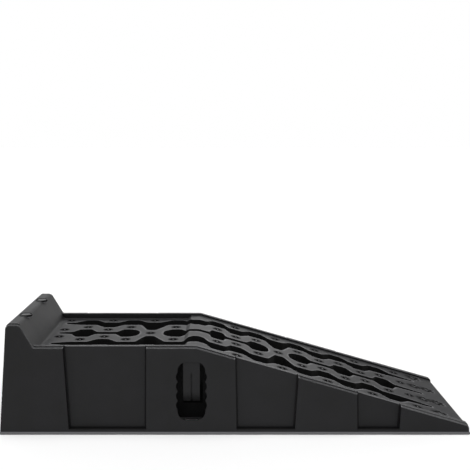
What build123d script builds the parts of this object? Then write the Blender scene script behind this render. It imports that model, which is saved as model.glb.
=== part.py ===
"""Plastic service ramp for one car wheel.

One black moulding with a ribbed, open underside carries the slope, a sunken platform and a wheel
stop. Round plugs close the stop's crest, a tongue stands behind each hand slot, and rubber feet are
pressed into sockets under the ribs. +X runs down the slope to the toe, +Y is the far side and +Z is
up. The origin is on the floor, under the middle of the ramp. All sizes are in millimetres.
"""
import math
import os

from build123d import *

# Outside of the moulding, whose walls lean in towards the top and end in a ledge beside the rim
LENGTH = 922.0
WIDTH = 328.0
HEIGHT = 218.8
RIM_HEIGHT = 174.0
TOE_HEIGHT = 19.5
STOP_DEPTH = 69.5
STOP_LEAN = 30.0
PLATFORM_LENGTH = 317.5
END_DRAFT = 4.2
SIDE_DRAFT = 1.2
CREST_RADIUS = 9.0
FOOT_RADIUS = 6.0
BREAK_RADIUS = 20.0
TOE_RADIUS = 7.0
LEDGE_WIDTH = 7.5
LEDGE_DROP = 2.0
EDGE_BEVEL = 1.2
LIP_PROUD = 2.5
LIP_HEIGHT = 4.0
LIP_BEVEL = 3.0
LIP_CORNER = 4.0

# Deck: a sunken tray inside the rim, with a low ridge where the platform meets the slope
RIM_WIDTH = 15.0
TRAY_DEPTH = 11.0
SLOPE_RIM = 4.5
RIDGE_WIDTH = 20.0
RIDGE_RISE = 9.0
RIDGE_RADIUS = 4.0

# Wall, deck, rib and groove thicknesses of the moulding
WALL = 4.0
DECK = 8.0
RIB = 3.2
RIB_PITCH = 88.0
LONG_RIB_Y = 75.0
GROOVE_DEPTH = 24.0

# Tread: winding bands between deep grooves, laid out on lobes along the ramp
FIRST_LOBE = 27.5
PLATFORM_PITCH = 94.0
SLOPE_FIRST = 79.0
SLOPE_PITCH = 90.3
TOE_MARGIN = 85.0
BRIDGE_EVERY = 3
BRIDGE_FIRST = 2
NECK_Y = 10.0
NECK_FLAT = 44.0
POOL_Y = 33.5
POOL_FLAT = 25.0
POOL_END = 24.0
POOL_ROUND = 28.0
BAND_CREST_Y = 74.0
BAND_CREST_FLAT = 34.0
BAND_DIP_Y = 51.0
BAND_DIP_FLAT = 22.0
BRIDGE_DIP_Y = 26.0
BRIDGE_DIP_FLAT = 18.0
BRIDGE_MOUTH = 52.0
STRIP_WIDTH = 22.5
STRIP_FLAT = 24.0
LOBE_REACH = 22.0
LOBE_FLAT = 30.0
BEND_RADIUS = 8.0
BEND_STEP = 18.0
TIP_BACK = 6.0
TIP_REACH = 37.0
TIP_HALF = 4.5
TIP_Y = 88.0
TIP_ROUND = 3.0

# Ring dimples on the bands and lobes, and rosettes of pockets on the toe
RING_OUTER = 15.5
RING_INNER = 4.0
RING_DEPTH = 6.0
RING_SIDES = 6
LOBE_RING = 25.0
END_RING_Y = 44.0
ROSETTE_X = 46.0
ROSETTE_STEP = 27.0
ROSETTE_OUTER_Y = 121.0
ROSETTE_INNER_Y = 44.0
ROSETTE_RADIUS = 9.5
ROSETTE_PETALS = 6
PETAL_LENGTH = 12.5
PETAL_WIDTH = 7.0
PETAL_DEPTH = 8.0

# Side panels set back in the walls behind a shadow gap. Each has a start and an end at the sill,
# measured from the stop end, and the lean of that edge in degrees
PANELS = ((137.0, 3.2, 288.0, 0.7), (464.5, 1.2, 578.5, 3.5), (700.5, 1.2, 782.5, 3.5))
RECESS_DEPTH = 9.0
RECESS_SILL = 9.0
GAP_WIDTH = 3.0
GAP_DEPTH = 3.0

# Hand slot in each side wall, with scalloped edges for the fingers
SLOT_FROM_BREAK = 10.2
SLOT_WIDTH = 60.0
SLOT_HEIGHT = 116.0
SLOT_BOTTOM = 28.0
SLOT_ROUND = 18.0
SCALLOPS = 4
SCALLOP_PITCH = 18.7
SCALLOP_RADIUS = 13.0
SCALLOP_DEPTH = 3.0

# Grip tongue behind each slot, staked to the wall on two pins
TONGUE_WIDTH = 32.5
TONGUE_THICK = 5.0
TONGUE_LAP = 10.0
TONGUE_DROP = 84.0
TONGUE_CURL = 24.0
TONGUE_RETURN = 30.0
CREASE_WIDTH = 2.6
CREASE_DEPTH = 3.0
CREASE_FROM_TOP = 24.0
STAKE_SIZE = 5.0
STAKE_SPACING = 18.0
STAKE_HEAD = 1.0

# Round plugs in bowl-shaped bosses on the crest of the stop
PLUG_BACK = 30.0
PLUG_SPACING = 147.0
PLUG_DIAMETER = 20.0
PLUG_THICK = 3.0
PLUG_PROUD = 1.0
PLUG_BEVEL = 0.6
PLUG_STEM = 10.0
PLUG_STEM_LENGTH = 12.0
PLUG_BOSS_LENGTH = 18.0
BOWL_RADIUS = 13.0
BOWL_PROUD = 1.8

# Square rubber feet under every other cross rib
FOOT_SIZE = 32.0
FOOT_THICK = 7.0
FOOT_PROUD = 0.8
FOOT_BEVEL = 1.5
FOOT_CORNER = 4.0
FOOT_GROOVE = 3.0
FOOT_GROOVE_DEPTH = 1.5
FOOT_GROOVE_Y = 9.0
FOOT_STEM = 10.0
FOOT_STEM_LENGTH = 14.0
FOOT_SOCKET = 18.0
FOOT_ROOM = 1.0

# Fits
PRESS_CLEARANCE = 0.1
PLUG_CLEARANCE = 1.2

# Places and levels worked out from the sizes above
draft = math.tan(math.radians(END_DRAFT))
side_draft = math.tan(math.radians(SIDE_DRAFT))
lean = math.tan(math.radians(STOP_LEAN))
half_width = WIDTH / 2 - LIP_PROUD
rim_half = half_width - side_draft * RIM_HEIGHT
tray_half = rim_half - RIM_WIDTH
end_x = -LENGTH / 2 + LIP_PROUD
toe_x = LENGTH / 2 - LIP_PROUD
foot_x = -LENGTH / 2 + STOP_DEPTH
break_x = foot_x + PLATFORM_LENGTH
fall = (RIM_HEIGHT - TOE_HEIGHT) / (toe_x - break_x)
deck_z = RIM_HEIGHT - TRAY_DEPTH
ridge_z = RIM_HEIGHT - SLOPE_RIM
slot_x = break_x - SLOT_FROM_BREAK
slot_top = SLOT_BOTTOM + SLOT_HEIGHT
plug_z = HEIGHT + PLUG_PROUD - PLUG_THICK
plug_places = [(foot_x - PLUG_BACK, side * PLUG_SPACING / 2) for side in (-1, 1)]
above = 2 * HEIGHT
far_wall = Pos(Y=half_width) * Rot(X=SIDE_DRAFT)


def side_face(points, radii):
    """A closed outline in the X-Z plane, with one corner radius for each point."""
    return Plane.XZ * make_face(FilletPolyline(*points, radius=radii, close=True))


def outline(bottom, on_deck, lowered=0):
    """Side view of the ramp down to a level: on the deck, or at the rim or a ledge lower than it."""
    drop = SLOPE_RIM if on_deck else lowered
    foot_z = deck_z if on_deck else RIM_HEIGHT - lowered
    crest_z = HEIGHT - lowered
    points = [
        (end_x + draft * bottom, bottom),
        (end_x + draft * crest_z, crest_z),
        (foot_x - lean * (crest_z - RIM_HEIGHT), crest_z),
        (foot_x + lean * (RIM_HEIGHT - foot_z), foot_z),
    ]
    radii = [0, CREST_RADIUS, CREST_RADIUS, FOOT_RADIUS]
    if on_deck:
        points += [(break_x - RIDGE_WIDTH - RIDGE_RISE, deck_z), (break_x - RIDGE_WIDTH, ridge_z)]
        radii += [RIDGE_RADIUS, RIDGE_RADIUS]
    points += [
        (break_x, RIM_HEIGHT - drop),
        (toe_x - draft * TOE_HEIGHT, TOE_HEIGHT - drop),
        (toe_x - draft * bottom, bottom),
    ]
    radii += [BREAK_RADIUS, TOE_RADIUS, 0]
    return side_face(points, radii)


def between_walls(inset):
    """Everything between the side walls, taken a distance inside their leaning outer faces."""
    middle = half_width - inset / math.cos(math.radians(SIDE_DRAFT))
    low = middle + side_draft * above
    high = middle - side_draft * above
    section = Polyline((-low, -above), (low, -above), (high, above), (-high, above), close=True)
    return extrude(Plane.YZ * make_face(section), LENGTH, both=True)


def both_sides(solid):
    """A far-side solid and its mirror on the near side."""
    return [solid, mirror(solid, about=Plane.XZ)]


def above_tread(depth):
    """Everything higher than a given depth under the surface of the tread."""
    knee_x = break_x + (ridge_z - deck_z) / fall
    points = [
        (-LENGTH, deck_z - depth),
        (knee_x, deck_z - depth),
        (LENGTH, ridge_z - depth - fall * (LENGTH - break_x)),
        (LENGTH, above),
        (-LENGTH, above),
    ]
    return extrude(Plane.XZ * make_face(Polyline(*points, close=True)), WIDTH, both=True)


def sunk(plan, depth):
    """A plan shape taken down vertically to a depth under the tread, as a mould draws."""
    return extrude(Pos(Z=-above) * plan, 2 * above) & above_tread(depth)


def lobes():
    """Places along the ramp where the side strips reach in: platform, break, then slope."""
    first = foot_x + FIRST_LOBE
    platform = int((break_x - first - PLATFORM_PITCH / 2) / PLATFORM_PITCH)
    slope = int((toe_x - TOE_MARGIN - break_x - SLOPE_FIRST) / SLOPE_PITCH)
    places = [first + PLATFORM_PITCH * i for i in range(platform + 1)]
    places += [break_x]
    places += [break_x + SLOPE_FIRST + SLOPE_PITCH * i for i in range(slope + 1)]
    return places


lobe_x = lobes()
pool_x = [(a + b) / 2 for a, b in zip(lobe_x, lobe_x[1:])]
last = len(lobe_x) - 1
bridges = [i for i in range(1, last) if i % BRIDGE_EVERY == BRIDGE_FIRST]
tip_start = lobe_x[0] - TIP_BACK
tip_end = lobe_x[-1] + TIP_REACH


def bend(before, corner, after, radius):
    """A corner of an outline turned in short straight steps that follow a radius."""
    into = (Vector(*corner) - Vector(*before)).normalized()
    out = (Vector(*after) - Vector(*corner)).normalized()
    turn = into.get_signed_angle(out, Vector(0, 0, 1))
    steps = max(1, round(abs(turn) / BEND_STEP))
    start = Vector(*corner) - into * radius * math.tan(math.radians(abs(turn) / 2))
    to_centre = into.rotate(Axis.Z, math.copysign(90, turn)) * radius
    spokes = [(-to_centre).rotate(Axis.Z, turn * i / steps) for i in range(steps + 1)]
    return [tuple(start + to_centre + spoke)[:2] for spoke in spokes]


def groove_face(points, radii, rounded):
    """Plan of a groove, with its corners turned or, for the trough that carries it, sharp."""
    if rounded:
        corners = zip(points[-1:] + points[:-1], points, points[1:] + points[:1], radii)
        points = [place for corner in corners for place in bend(*corner)]
    return make_face(Polyline(*points, close=True))


def centre_groove(first, final, rounded):
    """Plan of the middle groove from one pool to another, between two bridges or tips."""
    edge = []
    radii = []
    if first == 0:
        edge += [(tip_start, TIP_HALF), (lobe_x[0] + NECK_FLAT / 2, NECK_Y)]
        radii += [TIP_ROUND, BEND_RADIUS]
    for i in range(first, final + 1):
        at_start = i == first and first > 0
        at_end = i == final and final < last - 1
        edge += [(pool_x[i] - (POOL_END if at_start else POOL_FLAT / 2), POOL_Y)]
        edge += [(pool_x[i] + (POOL_END if at_end else POOL_FLAT / 2), POOL_Y)]
        radii += [POOL_ROUND if closed else BEND_RADIUS for closed in (at_start, at_end)]
        if i < final:
            edge += [(lobe_x[i + 1] + side * NECK_FLAT / 2, NECK_Y) for side in (-1, 1)]
            radii += [BEND_RADIUS, BEND_RADIUS]
    if final == last - 1:
        edge += [(lobe_x[-1] - NECK_FLAT / 2, NECK_Y), (tip_end, TIP_HALF)]
        radii += [BEND_RADIUS, TIP_ROUND]
    back = [(x, -y) for x, y in reversed(edge)]
    return groove_face(edge + back, radii + radii[::-1], rounded)


def side_groove(rounded):
    """Plan of the far groove, between the far band and the strip along the rim."""
    strip_y = tray_half - STRIP_WIDTH
    lobe_y = strip_y - LOBE_REACH
    band = []
    strip = [(lobe_x[0] + LOBE_FLAT / 2, lobe_y)]
    for i, x in enumerate(pool_x):
        band += [(x - BAND_CREST_FLAT / 2, BAND_CREST_Y), (x + BAND_CREST_FLAT / 2, BAND_CREST_Y)]
        strip += [(x - STRIP_FLAT / 2, strip_y), (x + STRIP_FLAT / 2, strip_y)]
        after = i + 1
        if after == last:
            continue
        if after in bridges:
            band.pop()
            band += [(lobe_x[after] - BRIDGE_MOUTH / 2, BAND_CREST_Y)]
            band += [(lobe_x[after] + side * BRIDGE_DIP_FLAT / 2, BRIDGE_DIP_Y) for side in (-1, 1)]
        else:
            band += [(lobe_x[after] + side * BAND_DIP_FLAT / 2, BAND_DIP_Y) for side in (-1, 1)]
        strip += [(lobe_x[after] + side * LOBE_FLAT / 2, lobe_y) for side in (-1, 1)]
    strip += [(lobe_x[-1] - LOBE_FLAT / 2, lobe_y)]
    right = [(tip_end, TIP_Y - TIP_HALF), (tip_end, TIP_Y + TIP_HALF)]
    left = [(tip_start, TIP_Y + TIP_HALF), (tip_start, TIP_Y - TIP_HALF)]
    tip = [TIP_ROUND, TIP_ROUND]
    radii = [BEND_RADIUS] * len(band) + tip + [BEND_RADIUS] * len(strip) + tip
    return groove_face(band + right + strip[::-1] + left, radii, rounded)


def groove_plan(rounded):
    """All grooves of the tread, seen from above."""
    stops = [-1] + [i - 1 for i in bridges] + [last - 1]
    plan = Sketch() + [centre_groove(a + 1, b, rounded) for a, b in zip(stops, stops[1:])]
    return plan + both_sides(side_groove(rounded))


def ring_places():
    """Centres of the ring dimples on the bands, bridges and lobes."""
    places = []
    for x in pool_x:
        places += [(x, side * (POOL_Y + BAND_CREST_Y) / 2) for side in (-1, 1)]
    for i, x in enumerate(lobe_x):
        if x == break_x:
            continue
        places += [(x, side * (tray_half - LOBE_RING)) for side in (-1, 1)]
        if i in bridges:
            places += [(x, 0)]
        elif i == last:
            places += [(x, side * END_RING_Y) for side in (-1, 1)]
        else:
            places += [(x, side * (NECK_Y + BAND_DIP_Y) / 2) for side in (-1, 1)]
    return places


def rosette_places():
    """Centres of the rosettes, in a row across the toe."""
    x = toe_x - ROSETTE_X
    places = [(x, side * ROSETTE_OUTER_Y) for side in (-1, 1)]
    for step in (-1, 1):
        places += [(x + step * ROSETTE_STEP / 2, side * ROSETTE_INNER_Y) for side in (-1, 1)]
    return places


def rosette():
    """Six-sided pockets, narrowing inwards, round a point."""
    tip = PETAL_LENGTH / 2
    side = PETAL_WIDTH / 2
    points = [(0, -tip), (side, 0), (side, tip / 2), (0, tip), (-side, tip / 2), (-side, 0)]
    petal = Pos(Y=ROSETTE_RADIUS) * make_face(Polyline(*points, close=True))
    return Sketch() + [Rot(Z=360 / ROSETTE_PETALS * i) * petal for i in range(ROSETTE_PETALS)]


def patterned(plan, places):
    """One plan shape at every place."""
    return Sketch() + [Pos(x, y) * plan for x, y in places]


def recess(panel, depth, grow):
    """Far side panel as a pocket in the leaning wall, with its edges moved out by a distance."""
    start, start_lean, end, end_lean = panel
    low_z = FOOT_PROUD + RECESS_SILL - grow
    left = -LENGTH / 2 + start - grow
    right = -LENGTH / 2 + end + grow
    left_top = left - math.tan(math.radians(start_lean)) * (above - low_z)
    right_top = right + math.tan(math.radians(end_lean)) * (above - low_z)
    points = [(left, low_z), (right, low_z), (right_top, above), (left_top, above)]
    face = Plane.XZ * make_face(Polyline(*points, close=True))
    return far_wall * Pos(Y=WALL) * extrude(face, WALL + depth)


def shadow_gap(panel):
    """Narrow channel round the edge of a side panel."""
    depth = RECESS_DEPTH + GAP_DEPTH
    return recess(panel, depth, 0) - recess(panel, depth + GAP_DEPTH, -GAP_WIDTH)


def rib_places():
    """Cross ribs at an even pitch, with the hand slot in the middle of a cell."""
    count = int(LENGTH / RIB_PITCH)
    places = [slot_x + RIB_PITCH * (i + 0.5) for i in range(-count, count)]
    return [x for x in places if end_x + WALL + RIB < x < toe_x - 2 * WALL]


def foot_places():
    """Crossings of the outer long ribs with every other cross rib."""
    rows = rib_places()[::2]
    high_enough = [x for x in rows if ridge_z - fall * (x - break_x) > FOOT_THICK + 2 * FOOT_STEM_LENGTH]
    return [(x, side * LONG_RIB_Y) for side in (-1, 1) for x in high_enough]


def upright(plan, low, high):
    """A plan shape stood up between two levels."""
    return Pos(Z=low) * extrude(plan, high - low)


def square(size):
    """Plan of a square post or hole."""
    return Rectangle(size, size)


def cells():
    """Hollows of the underside, open to the floor, between the ribs."""
    hollow = extrude(offset(outline(-HEIGHT, True), -WALL), WIDTH, both=True)
    hollow &= Pos(Z=WALL - DECK) * hollow
    hollow &= between_walls(WALL)
    panel_depth = RECESS_DEPTH + GAP_DEPTH + WALL
    keep = [side for panel in PANELS for side in both_sides(recess(panel, panel_depth, WALL))]
    keep += [Pos(x, 0, 0) * Box(RIB, WIDTH, 2 * above) for x in rib_places()]
    keep += [Pos(0, y, 0) * Box(LENGTH, RIB, 2 * above) for y in (-LONG_RIB_Y, 0, LONG_RIB_Y)]
    keep += [Pos(x, y) * upright(square(FOOT_SOCKET), -above, above) for x, y in foot_places()]
    boss = upright(square(PLUG_STEM + 2 * WALL), plug_z - PLUG_BOSS_LENGTH, above)
    keep += [Pos(x, y) * boss for x, y in plug_places]
    troughs = offset(groove_plan(False), WALL, kind=Kind.INTERSECTION)
    keep += [sunk(troughs, GROOVE_DEPTH + WALL)]
    pad = RegularPolygon(ROSETTE_RADIUS + PETAL_LENGTH / 2 + WALL, ROSETTE_PETALS)
    keep += [sunk(patterned(pad, rosette_places()), PETAL_DEPTH + WALL)]
    return hollow - keep


def slot_plan():
    """Outline of the hand slot, seen from the side."""
    core_width = SLOT_WIDTH - 2 * SCALLOP_DEPTH
    outline_face = RectangleRounded(core_width, SLOT_HEIGHT, SLOT_ROUND)
    centre = core_width / 2 + SCALLOP_DEPTH - SCALLOP_RADIUS
    for i in range(SCALLOPS):
        z = SCALLOP_PITCH * (i - (SCALLOPS - 1) / 2)
        outline_face += [Pos(side * centre, z) * Circle(SCALLOP_RADIUS) for side in (-1, 1)]
    return Plane.XZ * (Pos(slot_x, SLOT_BOTTOM + SLOT_HEIGHT / 2) * outline_face)


def stakes(size, length):
    """Two pins on the inside of the far wall that the grip tongue hangs on."""
    z = slot_top + TONGUE_LAP / 2
    pins = patterned(square(size), [(slot_x + side * STAKE_SPACING / 2, z) for side in (-1, 1)])
    return far_wall * Pos(Y=-WALL) * extrude(Plane.XZ * pins, length)


def ramp_body():
    """The one-piece moulding."""
    rim = extrude(outline(FOOT_PROUD, False), WIDTH, both=True) & between_walls(LEDGE_WIDTH)
    block = extrude(outline(FOOT_PROUD, False, LEDGE_DROP), WIDTH, both=True) & between_walls(0)
    on_side = [
        edge
        for edge in block.edges()
        if abs(edge.center().Y) > tray_half and edge.center().Z > FOOT_PROUD + LIP_PROUD
    ]
    block = chamfer(on_side, EDGE_BEVEL) + rim
    tray = outline(FOOT_PROUD, False) - outline(FOOT_PROUD, True)
    block -= extrude(tray, tray_half, both=True)

    ring = RegularPolygon(RING_OUTER / 2, RING_SIDES) - RegularPolygon(RING_INNER / 2, RING_SIDES)
    block -= sunk(groove_plan(True), GROOVE_DEPTH)
    block -= sunk(patterned(ring, ring_places()), RING_DEPTH)
    block -= sunk(patterned(rosette(), rosette_places()), PETAL_DEPTH)
    for panel in PANELS:
        block -= both_sides(recess(panel, RECESS_DEPTH, 0)) + both_sides(shadow_gap(panel))

    lip = upright(Rectangle(LENGTH, WIDTH), FOOT_PROUD, FOOT_PROUD + LIP_HEIGHT)
    lip = chamfer(lip.edges().filter_by(Axis.Z), LIP_CORNER)
    block += chamfer(lip.edges().group_by(Axis.Z)[-1], LIP_BEVEL)
    bowl = Sphere(BOWL_RADIUS, arc_size2=0, align=(Align.CENTER, Align.CENTER, Align.MAX))
    block += [Pos(x, y, HEIGHT + BOWL_PROUD) * bowl for x, y in plug_places]
    block -= cells()

    slot = far_wall * Pos(Y=WALL) * extrude(slot_plan(), 3 * WALL)
    block -= both_sides(slot)
    block += both_sides(stakes(STAKE_SIZE, TONGUE_THICK + STAKE_HEAD))

    for x, y in plug_places:
        block -= Pos(x, y) * upright(Circle(PLUG_DIAMETER / 2 + PLUG_CLEARANCE), plug_z, above)
        stem_hole = square(PLUG_STEM + 2 * PRESS_CLEARANCE)
        block -= Pos(x, y) * upright(stem_hole, plug_z - PLUG_BOSS_LENGTH, above)
    for x, y in foot_places():
        block -= Pos(x, y) * upright(square(FOOT_SIZE + 2 * FOOT_ROOM), 0, FOOT_THICK)
        hole_top = FOOT_THICK + FOOT_STEM_LENGTH + PRESS_CLEARANCE
        block -= Pos(x, y) * upright(square(FOOT_STEM + 2 * PRESS_CLEARANCE), 0, hole_top)
    return block


def tongue_section(thick, top):
    """Side view of the tongue's outer skin, of a given thickness, from its scooped end to a level."""
    low = slot_top - TONGUE_DROP
    points = [
        (0, top),
        (0, low),
        (-TONGUE_RETURN, low),
        (-TONGUE_RETURN, low + thick),
        (-thick, low + thick),
        (-thick, top),
    ]
    radii = [0, TONGUE_CURL, 0, 0, TONGUE_CURL - thick, 0]
    return Plane.YZ * make_face(FilletPolyline(*points, radius=radii, close=True))


def grip_tongue():
    """Far-side tongue: hangs on the pins, shows through the slot and scoops in at its lower end."""
    blade = extrude(tongue_section(TONGUE_THICK, slot_top + TONGUE_LAP), TONGUE_WIDTH / 2, both=True)
    crease = tongue_section(CREASE_DEPTH, slot_top - CREASE_FROM_TOP)
    blade -= extrude(crease, CREASE_WIDTH / 2, both=True)
    blade = far_wall * Pos(slot_x, -WALL) * blade
    return blade - stakes(STAKE_SIZE + 2 * PRESS_CLEARANCE, TONGUE_THICK)


def stop_plug():
    """Round plug: a flat head on a square stem."""
    head = upright(Circle(PLUG_DIAMETER / 2), 0, PLUG_THICK)
    head = chamfer(head.edges().group_by(Axis.Z)[-1], PLUG_BEVEL)
    return head + upright(square(PLUG_STEM), -PLUG_STEM_LENGTH, 0)


def rubber_foot():
    """Square rubber pad with two grip grooves underneath and a square stem on top."""
    pad = upright(square(FOOT_SIZE), 0, FOOT_THICK)
    pad = chamfer(pad.edges().filter_by(Axis.Z), FOOT_CORNER)
    pad = chamfer(pad.edges().group_by(Axis.Z)[0], FOOT_BEVEL)
    groove = Box(FOOT_SIZE, FOOT_GROOVE, 2 * FOOT_GROOVE_DEPTH)
    pad -= [Pos(Y=side * FOOT_GROOVE_Y) * groove for side in (-1, 1)]
    stem = upright(square(FOOT_STEM), FOOT_THICK, FOOT_THICK + FOOT_STEM_LENGTH)
    stem = chamfer(stem.edges().group_by(Axis.Z)[-1], FOOT_BEVEL)
    return pad + stem


def all_parts():
    """Every piece in its place, under the name of its file."""
    parts = {"ramp_body": ramp_body()}
    far, near = both_sides(grip_tongue())
    parts["grip_tongue_far"] = far
    parts["grip_tongue_near"] = near
    for name, (x, y) in zip(("near", "far"), plug_places):
        parts[f"stop_plug_{name}"] = Pos(x, y, plug_z) * stop_plug()
    side_count = len(foot_places()) // 2
    for i, (x, y) in enumerate(foot_places()):
        row = "near" if i < side_count else "far"
        parts[f"rubber_foot_{row}_{i % side_count + 1}"] = Pos(x, y) * rubber_foot()
    return parts


os.makedirs("parts", exist_ok=True)
for name, solid in all_parts().items():
    export_step(solid, f"parts/{name}.step")
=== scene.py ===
"""Low plastic service ramp, dressed for a studio picture.

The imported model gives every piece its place. The sections follow the ramp as it is put together: the
moulded body, the tongues behind its hand slots, the plugs in its stop and the rubber feet under it.
The studio and the camera come last. Sizes are in metres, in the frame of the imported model.
"""
import math

import bpy
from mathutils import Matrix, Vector

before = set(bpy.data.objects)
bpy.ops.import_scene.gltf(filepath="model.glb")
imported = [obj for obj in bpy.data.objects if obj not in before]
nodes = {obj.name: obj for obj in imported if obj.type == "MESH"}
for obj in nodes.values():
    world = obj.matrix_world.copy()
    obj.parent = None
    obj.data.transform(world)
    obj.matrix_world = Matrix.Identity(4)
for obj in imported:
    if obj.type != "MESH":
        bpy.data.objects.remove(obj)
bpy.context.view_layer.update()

# Ramp body: one injection moulding of black polypropylene with the slope, the platform, the end stop
# and the side walls in one piece. Its mould was spark-eroded, so the plastic is matt with a fine grain.
# Use has dusted and scuffed its upper faces paler. Its upper edges carry painted highlights and its base
# lip painted light, and its grooves, dimples and crevices are painted dark as painted shade.
MILLIMETRE = 0.001


def linear(code):
    """An sRGB hex colour as linear RGBA."""
    parts = [int(code[i : i + 2], 16) / 255 for i in (1, 3, 5)]
    return [p / 12.92 if p <= 0.04045 else ((p + 0.055) / 1.055) ** 2.4 for p in parts] + [1.0]


def add(tree, kind, links=(), values=(), **settings):
    """A node with its settings, its socket values and the links into its sockets."""
    made = tree.nodes.new(kind)
    for name, value in settings.items():
        setattr(made, name, value)
    for socket, value in dict(values).items():
        made.inputs[socket].default_value = value
    for socket, source in dict(links).items():
        tree.links.new(source, made.inputs[socket])
    return made


def new_material(name):
    """An empty node material, with its tree and its output."""
    material = bpy.data.materials.new(name)
    material.use_nodes = True
    tree = material.node_tree
    tree.nodes.clear()
    return material, tree, add(tree, "ShaderNodeOutputMaterial")


def nearest(tree, plan, places):
    """Distance, seen from above, to the nearest of several places given in millimetres."""
    least = None
    for x, y in places:
        spot = (x * MILLIMETRE, y * MILLIMETRE, 0.0)
        apart = add(tree, "ShaderNodeVectorMath", {0: plan}, {1: spot}, operation="DISTANCE").outputs["Value"]
        least = add(tree, "ShaderNodeMath", {0: apart, 1: least or apart}, operation="MINIMUM").outputs[0]
    return least


def combine(tree, masks, rows):
    """Adds masks that are made of others: each row has a name, an operation and what goes into it."""
    for name, operation, first, *others in rows:
        level = masks[first]
        for other in others:
            level = add(tree, "ShaderNodeMath", {0: level, 1: masks[other]}, operation=operation).outputs[0]
        masks[name] = level


def wear_and_painted_light_masks(tree, at):
    """Masks of the dusted tops, the painted highlights and light, and the painted shade, from place, lean and
    nearness to edges.
    """
    # Lengths here are in millimetres. A place with a width from the middle line stands for both sides.
    rim_height = 174.0
    slope_start = -74.0
    slope_fall = 0.29
    toe = 461.0
    stop_foot = -380.0
    toe_panel_end = 320.0
    tray_half = 143.0
    lip = 4.6
    slot_middle = -84.2
    slot_sill = 36.0
    tongue_half = 20.0
    tongue_foot = 62.0
    tongue_fade = 26.0
    bosses = [(-421.5, 73.5)]
    boss_reach = 15.0
    boss_hole = 11.4
    boss_foot = 216.0
    lobes = (-364.0, -270.0, -176.0, 5.0, 95.3, 185.6, 275.9, 366.2)
    lobe_ring_width = 118.0
    band_ring_widths = (30.5, 30.5, 0.0, 30.5, 0.0, 30.5, 30.5, 44.0)
    pools = (-317.0, -223.0, -125.0, -34.5, 50.2, 140.5, 230.8, 321.1)
    pool_ring_width = 53.7
    rings = [(x, lobe_ring_width) for x in lobes] + [(x, pool_ring_width) for x in pools]
    rings += zip(lobes, band_ring_widths)
    rosettes = [(409.0, 121.0), (395.5, 44.0), (422.5, 44.0)]
    petal_radius = 9.5
    petal_turns = [math.radians(30 + 60 * i) for i in range(6)]
    petals = [
        (x + petal_radius * math.cos(turn), y + petal_radius * math.sin(turn))
        for x, y in rosettes
        for turn in petal_turns
    ]
    crevice = 4.5
    rim_highlight_reach = 3.0
    tread_highlight_reach = 12.0
    # How much of the colour the painted shade takes over where its mask is full.
    painted_shade_cover = 0.9

    # Depth below the line of the rim tells rims, tread and deep grooves apart.
    rim_line = add(
        tree,
        "ShaderNodeMapRange",
        {"Value": at["X"]},
        {
            "From Min": slope_start * MILLIMETRE,
            "From Max": toe * MILLIMETRE,
            "To Min": rim_height * MILLIMETRE,
            "To Max": (rim_height - slope_fall * (toe - slope_start)) * MILLIMETRE,
        },
    )
    links = {0: rim_line.outputs["Result"], 1: at["Z"]}
    depth = add(tree, "ShaderNodeMath", links, operation="SUBTRACT").outputs[0]
    width = add(tree, "ShaderNodeMath", {0: at["Y"]}, operation="ABSOLUTE").outputs[0]
    plan = add(tree, "ShaderNodeCombineXYZ", {"X": at["X"], "Y": width}).outputs["Vector"]
    from_boss = nearest(tree, plan, bosses)
    from_ring = nearest(tree, plan, rings)
    from_petal = nearest(tree, plan, petals)
    from_rosette = nearest(tree, plan, rosettes)

    # Each row has what is measured, where the mask starts, where it is full, and how strong it then is.
    fades = {
        "tread": (depth, 24, 16, 1.0),
        "sunken": (depth, 16, 24, 1.0),
        "in_groove": (depth, 46, 42, 1.0),
        "rim": (depth, 8, 5, 1.0),
        "rim_step": (depth, 4.5, 3, 1.0),
        "tray": (width, tray_half + 1, tray_half, 1.0),
        "off_tray_wall": (width, tray_half - 1.5, tray_half - 2, 1.0),
        "outer": (width, tray_half, tray_half + 1, 1.0),
        "past_stop": (at["X"], stop_foot - 0.5, stop_foot, 1.0),
        "past_panels": (at["X"], toe_panel_end - 2, toe_panel_end, 1.0),
        # The base lip is painted paler as painted light, for the light that it catches off the floor.
        "base": (at["Z"], lip + 1, lip, 1.0),
        "above_lip": (at["Z"], lip, lip + 1, 1.0),
        "tongue_end": (at["Z"], tongue_foot + tongue_fade, tongue_foot, 1.0),
        "above_sill": (at["Z"], slot_sill - 0.5, slot_sill, 1.0),
        "under_hole": (at["Z"], boss_foot + 1, boss_foot, 1.0),
        "crown": (at["Z"], boss_foot, boss_foot + 1, 1.0),
        "near_boss": (from_boss, boss_reach + 1, boss_reach, 1.0),
        "round_hole": (from_boss, boss_hole, boss_hole + 0.5, 1.0),
        "round_plug": (from_boss, boss_reach, boss_reach - 1, 0.8),
        # Rings, petals and rosettes mark the dimples, which get painted shade in and round them.
        "near_ring": (from_ring, 12, 9, 1.0),
        "off_ring_middle": (from_ring, 1.5, 3, 1.0),
        "petal": (from_petal, 5.8, 4.8, 1.0),
        "rosette": (from_rosette, 19, 16, 0.5),
    }
    masks = {}
    for name, (measure, start, full, strength) in fades.items():
        ends = {"From Min": start * MILLIMETRE, "From Max": full * MILLIMETRE, "To Max": strength}
        masks[name] = add(tree, "ShaderNodeMapRange", {"Value": measure}, ends).outputs["Result"]
    in_slot = {1: slot_middle * MILLIMETRE, 2: tongue_half * MILLIMETRE}
    masks["in_slot"] = add(tree, "ShaderNodeMath", {0: at["X"]}, in_slot, operation="COMPARE").outputs[0]

    # How far a face looks up, and how open it lies, have no unit.
    face = add(tree, "ShaderNodeNewGeometry").outputs["True Normal"]
    upward = add(tree, "ShaderNodeSeparateXYZ", {"Vector": face}).outputs["Z"]
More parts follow.
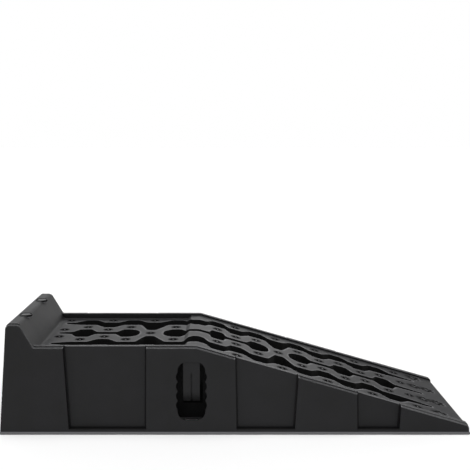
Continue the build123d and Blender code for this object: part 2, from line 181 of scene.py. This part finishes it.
    # Ambient occlusion finds the crevices, which are painted dark as painted shade.
    around = {"Distance": crevice * MILLIMETRE}
    opening = add(tree, "ShaderNodeAmbientOcclusion", values=around, samples=6, only_local=True).outputs["AO"]
    shares = {
        "top": (upward, 0.5, 0.95),
        "steep": (upward, 0.95, 0.5),
        "down": (upward, 0.3, 0.1),
        "open": (opening, 0.75, 0.95),
    }
    for name, (measure, start, full) in shares.items():
        ends = {"From Min": start, "From Max": full}
        masks[name] = add(tree, "ShaderNodeMapRange", {"Value": measure}, ends).outputs["Result"]

    # An edge is where the normal, rounded over a reach, leaves the face. Edges that lean upward get a painted
    # highlight: a short reach gives the thin lines of the rims, and a long one the broader painted highlight
    # round the grooves of the tread.
    for name, reach, start, full in (("short", rim_highlight_reach, 0.99, 0.85), ("long", tread_highlight_reach, 0.93, 0.76)):
        around = {"Radius": reach * MILLIMETRE}
        rounded = add(tree, "ShaderNodeBevel", values=around, samples=6).outputs["Normal"]
        turned = add(tree, "ShaderNodeVectorMath", {0: rounded, 1: face}, operation="DOT_PRODUCT")
        ends = {"From Min": start, "From Max": full}
        edge = add(tree, "ShaderNodeMapRange", {"Value": turned.outputs["Value"]}, ends)
        lean = add(tree, "ShaderNodeSeparateXYZ", {"Vector": rounded})
        ends = {"From Min": 0.15, "From Max": 0.6}
        upper = add(tree, "ShaderNodeMapRange", {"Value": lean.outputs["Z"]}, ends)
        links = {0: edge.outputs["Result"], 1: upper.outputs["Result"]}
        masks[name] = add(tree, "ShaderNodeMath", links, operation="MULTIPLY").outputs[0]

    # Painted shade darkens the dimples, the groove walls and hidden ledges, a ring round the plugs, the lower
    # ends of the tongues and every crevice, and no dust or painted highlight is drawn there. The bosses of
    # the stop are left out of the crevice shade, and their undersides are painted paler as painted light.
    # The outer walls are left out of the crevice shade down into their gaps, and along the toe the step
    # under the rim is drawn paler.
    combine(
        tree,
        masks,
        (
            ("off_hole", "MAXIMUM", "round_hole", "under_hole"),
            ("boss", "MULTIPLY", "near_boss", "off_hole"),
            ("out_of_crevice_shade", "MAXIMUM", "open", "boss"),
            ("boss_painted_light", "MULTIPLY", "boss", "down", "under_hole"),
            ("deck", "MULTIPLY", "tread", "tray"),
            ("ring", "MULTIPLY", "near_ring", "off_ring_middle"),
            ("sunk_marks", "MAXIMUM", "ring", "petal", "rosette"),
            ("dimple", "MULTIPLY", "sunk_marks", "deck"),
            ("groove_wall", "MULTIPLY", "steep", "off_tray_wall", "past_stop", "in_groove"),
            ("ledge", "MULTIPLY", "top", "sunken", "above_lip"),
            ("collar", "MULTIPLY", "round_plug", "crown"),
            ("shelter", "MULTIPLY", "tongue_end", "in_slot", "above_sill"),
            ("painted_shade", "MAXIMUM", "dimple", "groove_wall", "ledge", "collar", "shelter"),
        ),
    )
    ends = {"To Min": 1.0, "To Max": 1.0 - painted_shade_cover}
    masks["spared"] = add(tree, "ShaderNodeMapRange", {"Value": masks["painted_shade"]}, ends).outputs["Result"]
    combine(
        tree,
        masks,
        (
            ("unshaded", "MULTIPLY", "out_of_crevice_shade", "spared"),
            ("rim_edge", "MULTIPLY", "short", "rim", "unshaded"),
            ("tread_edge", "MULTIPLY", "long", "deck", "top", "unshaded"),
            ("rubbed_top", "MULTIPLY", "top", "tread", "unshaded"),
            ("toe_step", "MULTIPLY", "past_panels", "rim_step", "outer"),
            ("out_of_crevice_shade_or_outer", "MAXIMUM", "out_of_crevice_shade", "outer"),
            ("unshaded_colour", "MULTIPLY", "out_of_crevice_shade_or_outer", "spared"),
        ),
    )
    return masks


def moulded_polypropylene():
    """Black polypropylene from a spark-eroded mould: a soft sheen over a fine grain, dusty tops, painted
    highlights and painted shade.
    """
    # The real grain, about 0.2 mm, is too fine to show, so it is drawn coarser.
    grain = 0.9 * MILLIMETRE
    grain_depth = 0.15 * MILLIMETRE
    grain_strength = 0.25
    cloud = 60 * MILLIMETRE
    scuff = 5 * MILLIMETRE
    scuff_stretch = (0.25, 1.0, 1.0)
    grit = 1.6 * MILLIMETRE
    grit_depth = 1.2 * MILLIMETRE
    corner = 0.7 * MILLIMETRE
    half_length = 461 * MILLIMETRE
    roughness_along = ((0.0, 0.48), (0.2, 0.47), (0.45, 0.40), (0.65, 0.41), (0.95, 0.60))
    roughness_variation = 0.12
    painted_shade_roughness = 1.0
    black = ((0.3, "#101011"), (0.7, "#151517"))
    # Painted shade: the near-black drawn into grooves, dimples, ledges, crevices and the tongues' ends.
    painted_shade_black = "#040404"
    wear_and_painted_light = (
        ("scuffed_top", "#343436"),
        # Painted highlight along the upward edges round the tread's grooves.
        ("tread_edge", "#6C6C6E"),
        ("toe_step", "#3A3A3B"),
        # Painted highlight along the upward edges of the rims.
        ("rim_edge", "#8A8A8C"),
        # Painted light on the undersides of the stop's bosses, which lie in shade.
        ("boss_painted_light", "#6A6A6C"),
        # Painted light along the base lip.
        ("base", "#565658"),
    )
    material, tree, output = new_material("moulded_polypropylene")
    place = add(tree, "ShaderNodeTexCoord").outputs["Object"]
    at = add(tree, "ShaderNodeSeparateXYZ", {"Vector": place}).outputs
    fine = add(tree, "ShaderNodeTexNoise", {"Vector": place}, {"Scale": 1 / grain, "Detail": 2.0})
    broad = add(tree, "ShaderNodeTexNoise", {"Vector": place}, {"Scale": 1 / cloud, "Detail": 3.0})
    crumbs = add(tree, "ShaderNodeTexNoise", {"Vector": place}, {"Scale": 1 / grit, "Detail": 2.0})
    drawn_out = add(tree, "ShaderNodeMapping", {"Vector": place}, {"Scale": scuff_stretch}).outputs["Vector"]
    scuffs = add(tree, "ShaderNodeTexNoise", {"Vector": drawn_out}, {"Scale": 1 / scuff, "Detail": 4.0})
    masks = wear_and_painted_light_masks(tree, at)
    masks["scuffs"] = scuffs.outputs["Fac"]
    combine(tree, masks, (("scuffed_top", "MULTIPLY", "rubbed_top", "scuffs"),))

    # Sockets 6 and 7 of a Mix node are its two colours, and 2 and 3 its two numbers.
    shade = add(tree, "ShaderNodeValToRGB", {"Fac": broad.outputs["Fac"]})
    for element, (position, colour) in zip(shade.color_ramp.elements, black):
        element.position = position
        element.color = linear(colour)
    # Painted shade: the colour goes to the near-black wherever it is not left unshaded.
    links = {"Factor": masks["unshaded_colour"], 7: shade.outputs["Color"]}
    colour = add(tree, "ShaderNodeMix", links, {6: linear(painted_shade_black)}, data_type="RGBA").outputs[2]
    for name, paler in wear_and_painted_light:
        links = {"Factor": masks[name], 6: colour}
        colour = add(tree, "ShaderNodeMix", links, {7: linear(paler)}, data_type="RGBA").outputs[2]

    # The two ends of the ramp are scuffed duller than its middle.
    ends = {"From Min": -half_length, "From Max": half_length}
    along = add(tree, "ShaderNodeMapRange", {"Value": at["X"]}, ends)
    dull = add(tree, "ShaderNodeValToRGB", {"Fac": along.outputs["Result"]})
    for _ in roughness_along[2:]:
        dull.color_ramp.elements.new(0.5)
    for element, (position, level) in zip(dull.color_ramp.elements, roughness_along):
        element.position = position
        element.color = (level, level, level, 1.0)
    links = {0: broad.outputs["Fac"], 2: dull.outputs["Color"]}
    rough = add(tree, "ShaderNodeMath", links, {1: roughness_variation}, operation="MULTIPLY_ADD")
    # The places painted with shade are also made fully rough.
    links = {"Factor": masks["spared"], 3: rough.outputs[0]}
    rough = add(tree, "ShaderNodeMix", links, {2: painted_shade_roughness}, data_type="FLOAT")

    soft = add(tree, "ShaderNodeBevel", values={"Radius": corner}, samples=4)
    links = {"Height": fine.outputs["Fac"], "Normal": soft.outputs["Normal"]}
    bump = add(tree, "ShaderNodeBump", links, {"Strength": grain_strength, "Distance": grain_depth})
    links = {"Height": crumbs.outputs["Fac"], "Strength": masks["dimple"], "Normal": bump.outputs["Normal"]}
    bump = add(tree, "ShaderNodeBump", links, {"Distance": grit_depth})
    links = {"Base Color": colour, "Roughness": rough.outputs[0], "Normal": bump.outputs["Normal"]}
    shader = add(tree, "ShaderNodeBsdfPrincipled", links, {"IOR": 1.49, "Specular IOR Level": 0.23})
    tree.links.new(shader.outputs["BSDF"], output.inputs["Surface"])
    return material


def dress(name, material):
    """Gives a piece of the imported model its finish."""
    nodes[name].data.materials.clear()
    nodes[name].data.materials.append(material)


polypropylene = moulded_polypropylene()
dress("ramp_body", polypropylene)

# Grip tongues: a creased strip of the same polypropylene behind each hand slot. Each hangs on two staked
# pins of the wall and scoops inwards, so that fingers close round it.
for side in ("near", "far"):
    dress(f"grip_tongue_{side}", polypropylene)


# Stop plugs: two turned discs of acetal, pressed into the bosses on the crest of the stop. The lathe
# leaves them smoother than the moulding round them.
def turned_acetal():
    """Black acetal off a lathe: satin, with a faint mottle and a very fine grain."""
    # The tool's own lines, about 0.1 mm apart, are too fine to show, so they are drawn as a coarser grain.
    tool_grain = 0.7 * MILLIMETRE
    tool_depth = 0.1 * MILLIMETRE
    mottle_size = 6 * MILLIMETRE
    blacks = ((0.35, "#202022"), (0.65, "#27272A"))
    material, tree, output = new_material("turned_acetal")
    place = add(tree, "ShaderNodeTexCoord").outputs["Object"]
    mottle = add(tree, "ShaderNodeTexNoise", {"Vector": place}, {"Scale": 1 / mottle_size, "Detail": 2.0})
    shade = add(tree, "ShaderNodeValToRGB", {"Fac": mottle.outputs["Fac"]})
    for element, (position, colour) in zip(shade.color_ramp.elements, blacks):
        element.position = position
        element.color = linear(colour)
    ends = {"From Min": 0.35, "From Max": 0.65, "To Min": 0.42, "To Max": 0.50}
    rough = add(tree, "ShaderNodeMapRange", {"Value": mottle.outputs["Fac"]}, ends)
    grain = add(tree, "ShaderNodeTexNoise", {"Vector": place}, {"Scale": 1 / tool_grain, "Detail": 1.0})
    links = {"Height": grain.outputs["Fac"]}
    bump = add(tree, "ShaderNodeBump", links, {"Strength": 0.15, "Distance": tool_depth})
    links = {
        "Base Color": shade.outputs["Color"],
        "Roughness": rough.outputs["Result"],
        "Normal": bump.outputs["Normal"],
    }
    shader = add(tree, "ShaderNodeBsdfPrincipled", links, {"IOR": 1.48, "Specular IOR Level": 0.45})
    tree.links.new(shader.outputs["BSDF"], output.inputs["Surface"])
    return material


acetal = turned_acetal()
for side in ("near", "far"):
    dress(f"stop_plug_{side}", acetal)


# Rubber feet: ten square pads of cured black rubber under the ribs, each held by a stem in a socket.
# They are dull and slightly speckled, as rubber with chalk and carbon in it is.
def cured_rubber():
    """Cured black rubber: very dull, with a fine pale speckle."""
    # Chalk in rubber is much finer. The specks are drawn as coarse as they need to show.
    speck = 1.2 * MILLIMETRE
    speck_depth = 0.2 * MILLIMETRE
    blacks = ((0.45, "#101010"), (0.75, "#242423"))
    material, tree, output = new_material("cured_rubber")
    place = add(tree, "ShaderNodeTexCoord").outputs["Object"]
    chalk = add(tree, "ShaderNodeTexNoise", {"Vector": place}, {"Scale": 1 / speck, "Detail": 3.0})
    shade = add(tree, "ShaderNodeValToRGB", {"Fac": chalk.outputs["Fac"]})
    for element, (position, colour) in zip(shade.color_ramp.elements, blacks):
        element.position = position
        element.color = linear(colour)
    ends = {"From Min": 0.3, "From Max": 0.7, "To Min": 0.78, "To Max": 0.88}
    rough = add(tree, "ShaderNodeMapRange", {"Value": chalk.outputs["Fac"]}, ends)
    links = {"Height": chalk.outputs["Fac"]}
    bump = add(tree, "ShaderNodeBump", links, {"Strength": 0.4, "Distance": speck_depth})
    links = {
        "Base Color": shade.outputs["Color"],
        "Roughness": rough.outputs["Result"],
        "Normal": bump.outputs["Normal"],
    }
    shader = add(tree, "ShaderNodeBsdfPrincipled", links, {"IOR": 1.52, "Specular IOR Level": 0.3})
    tree.links.new(shader.outputs["BSDF"], output.inputs["Surface"])
    return material


rubber = cured_rubber()
for name in nodes:
    if name.startswith("rubber_foot"):
        dress(name, rubber)

# Studio: a white paper floor that runs back out of sight and a low white surround under a dark ceiling,
# both of the same white, so that no horizon shows. A wide soft light hangs overhead, and a long soft
# strip light behind the ramp brings out its tread.
FLOOR_SIZE = 60.0
SURROUND_TOP = math.sin(math.radians(22))
CEILING_START = math.sin(math.radians(38))
CEILING = 0.1
OVERHEAD = 0.80
OVERHEAD_SPREAD = math.radians(70)
OVERHEAD_TILT = math.radians(-16)
OVERHEAD_PLACE = (0.0, 0.0, 3.0)
STRIP_SIZE = (5.0, 1.2)
STRIP_PLACE = (-1.2, 4.0, 1.5)
STRIP_LEVEL = 0.8


def studio_paper():
    """White matt paper with faint fibre clouds."""
    fibre_cloud = 400 * MILLIMETRE
    whites = ("#F9F9F9", "#FBFBFB")
    material, tree, output = new_material("studio_paper")
    place = add(tree, "ShaderNodeTexCoord").outputs["Object"]
    fibre = add(tree, "ShaderNodeTexNoise", {"Vector": place}, {"Scale": 1 / fibre_cloud, "Detail": 2.0})
    shade = add(tree, "ShaderNodeValToRGB", {"Fac": fibre.outputs["Fac"]})
    for element, colour in zip(shade.color_ramp.elements, whites):
        element.color = linear(colour)
    paper = add(tree, "ShaderNodeBsdfDiffuse", {"Color": shade.outputs["Color"]})
    tree.links.new(paper.outputs["BSDF"], output.inputs["Surface"])
    return material


floor_mesh = bpy.data.meshes.new("floor")
half = FLOOR_SIZE / 2
corners = [(-half, -half, 0), (half, -half, 0), (half, half, 0), (-half, half, 0)]
floor_mesh.from_pydata(corners, [], [(0, 1, 2, 3)])
floor_mesh.materials.append(studio_paper())
floor = bpy.data.objects.new("floor", floor_mesh)
bpy.context.collection.objects.link(floor)

world = bpy.data.worlds.new("surround")
world.use_nodes = True
sky = world.node_tree
sky.nodes.clear()
direction = add(sky, "ShaderNodeTexCoord").outputs["Generated"]
towards = add(sky, "ShaderNodeSeparateXYZ", {"Vector": direction})
ends = {"From Min": SURROUND_TOP, "From Max": CEILING_START, "To Min": 1.0, "To Max": CEILING}
strength = add(sky, "ShaderNodeMapRange", {"Value": towards.outputs["Z"]}, ends).outputs["Result"]
background = add(sky, "ShaderNodeBackground", {"Strength": strength}, {"Color": linear("#FFFFFF")})
add(sky, "ShaderNodeOutputWorld", {"Surface": background.outputs["Background"]})
bpy.context.scene.world = world

overhead = bpy.data.lights.new("overhead", "SUN")
overhead.energy = OVERHEAD * math.pi / math.cos(OVERHEAD_TILT)
overhead.angle = OVERHEAD_SPREAD
lamp = bpy.data.objects.new("overhead", overhead)
lamp.location = OVERHEAD_PLACE
lamp.rotation_euler = (-OVERHEAD_TILT, 0.0, 0.0)
bpy.context.collection.objects.link(lamp)

strip = bpy.data.lights.new("strip", "AREA")
strip.shape = "RECTANGLE"
strip.size, strip.size_y = STRIP_SIZE
strip.energy = STRIP_LEVEL * math.pi * strip.size * strip.size_y
strip_lamp = bpy.data.objects.new("strip", strip)
strip_lamp.location = STRIP_PLACE
strip_lamp.rotation_euler = (-Vector(STRIP_PLACE)).to_track_quat("-Z", "Y").to_euler()
strip_lamp.visible_camera = False
bpy.context.collection.objects.link(strip_lamp)

# Camera: a little above the ramp and square to its side, looking slightly down. Its lens is given in
# pixels of a 470-pixel picture, whose axis lies a little left of the middle.
IMAGE = 470
FOCAL_PIXELS = 831.0
AXIS_PIXEL = 221.9
SENSOR_WIDTH = 36.0
CAMERA_PLACE = (-0.025, -1.724, 0.584)
PITCH = math.radians(7.0)
camera_data = bpy.data.cameras.new("camera")
camera_data.sensor_width = SENSOR_WIDTH
camera_data.lens = FOCAL_PIXELS / IMAGE * SENSOR_WIDTH
camera_data.shift_x = (IMAGE / 2 - AXIS_PIXEL) / IMAGE
camera = bpy.data.objects.new("camera", camera_data)
camera.location = CAMERA_PLACE
camera.rotation_euler = (math.pi / 2 - PITCH, 0, 0)
bpy.context.collection.objects.link(camera)
bpy.context.scene.camera = camera
bpy.context.scene.view_settings.view_transform = "Standard"
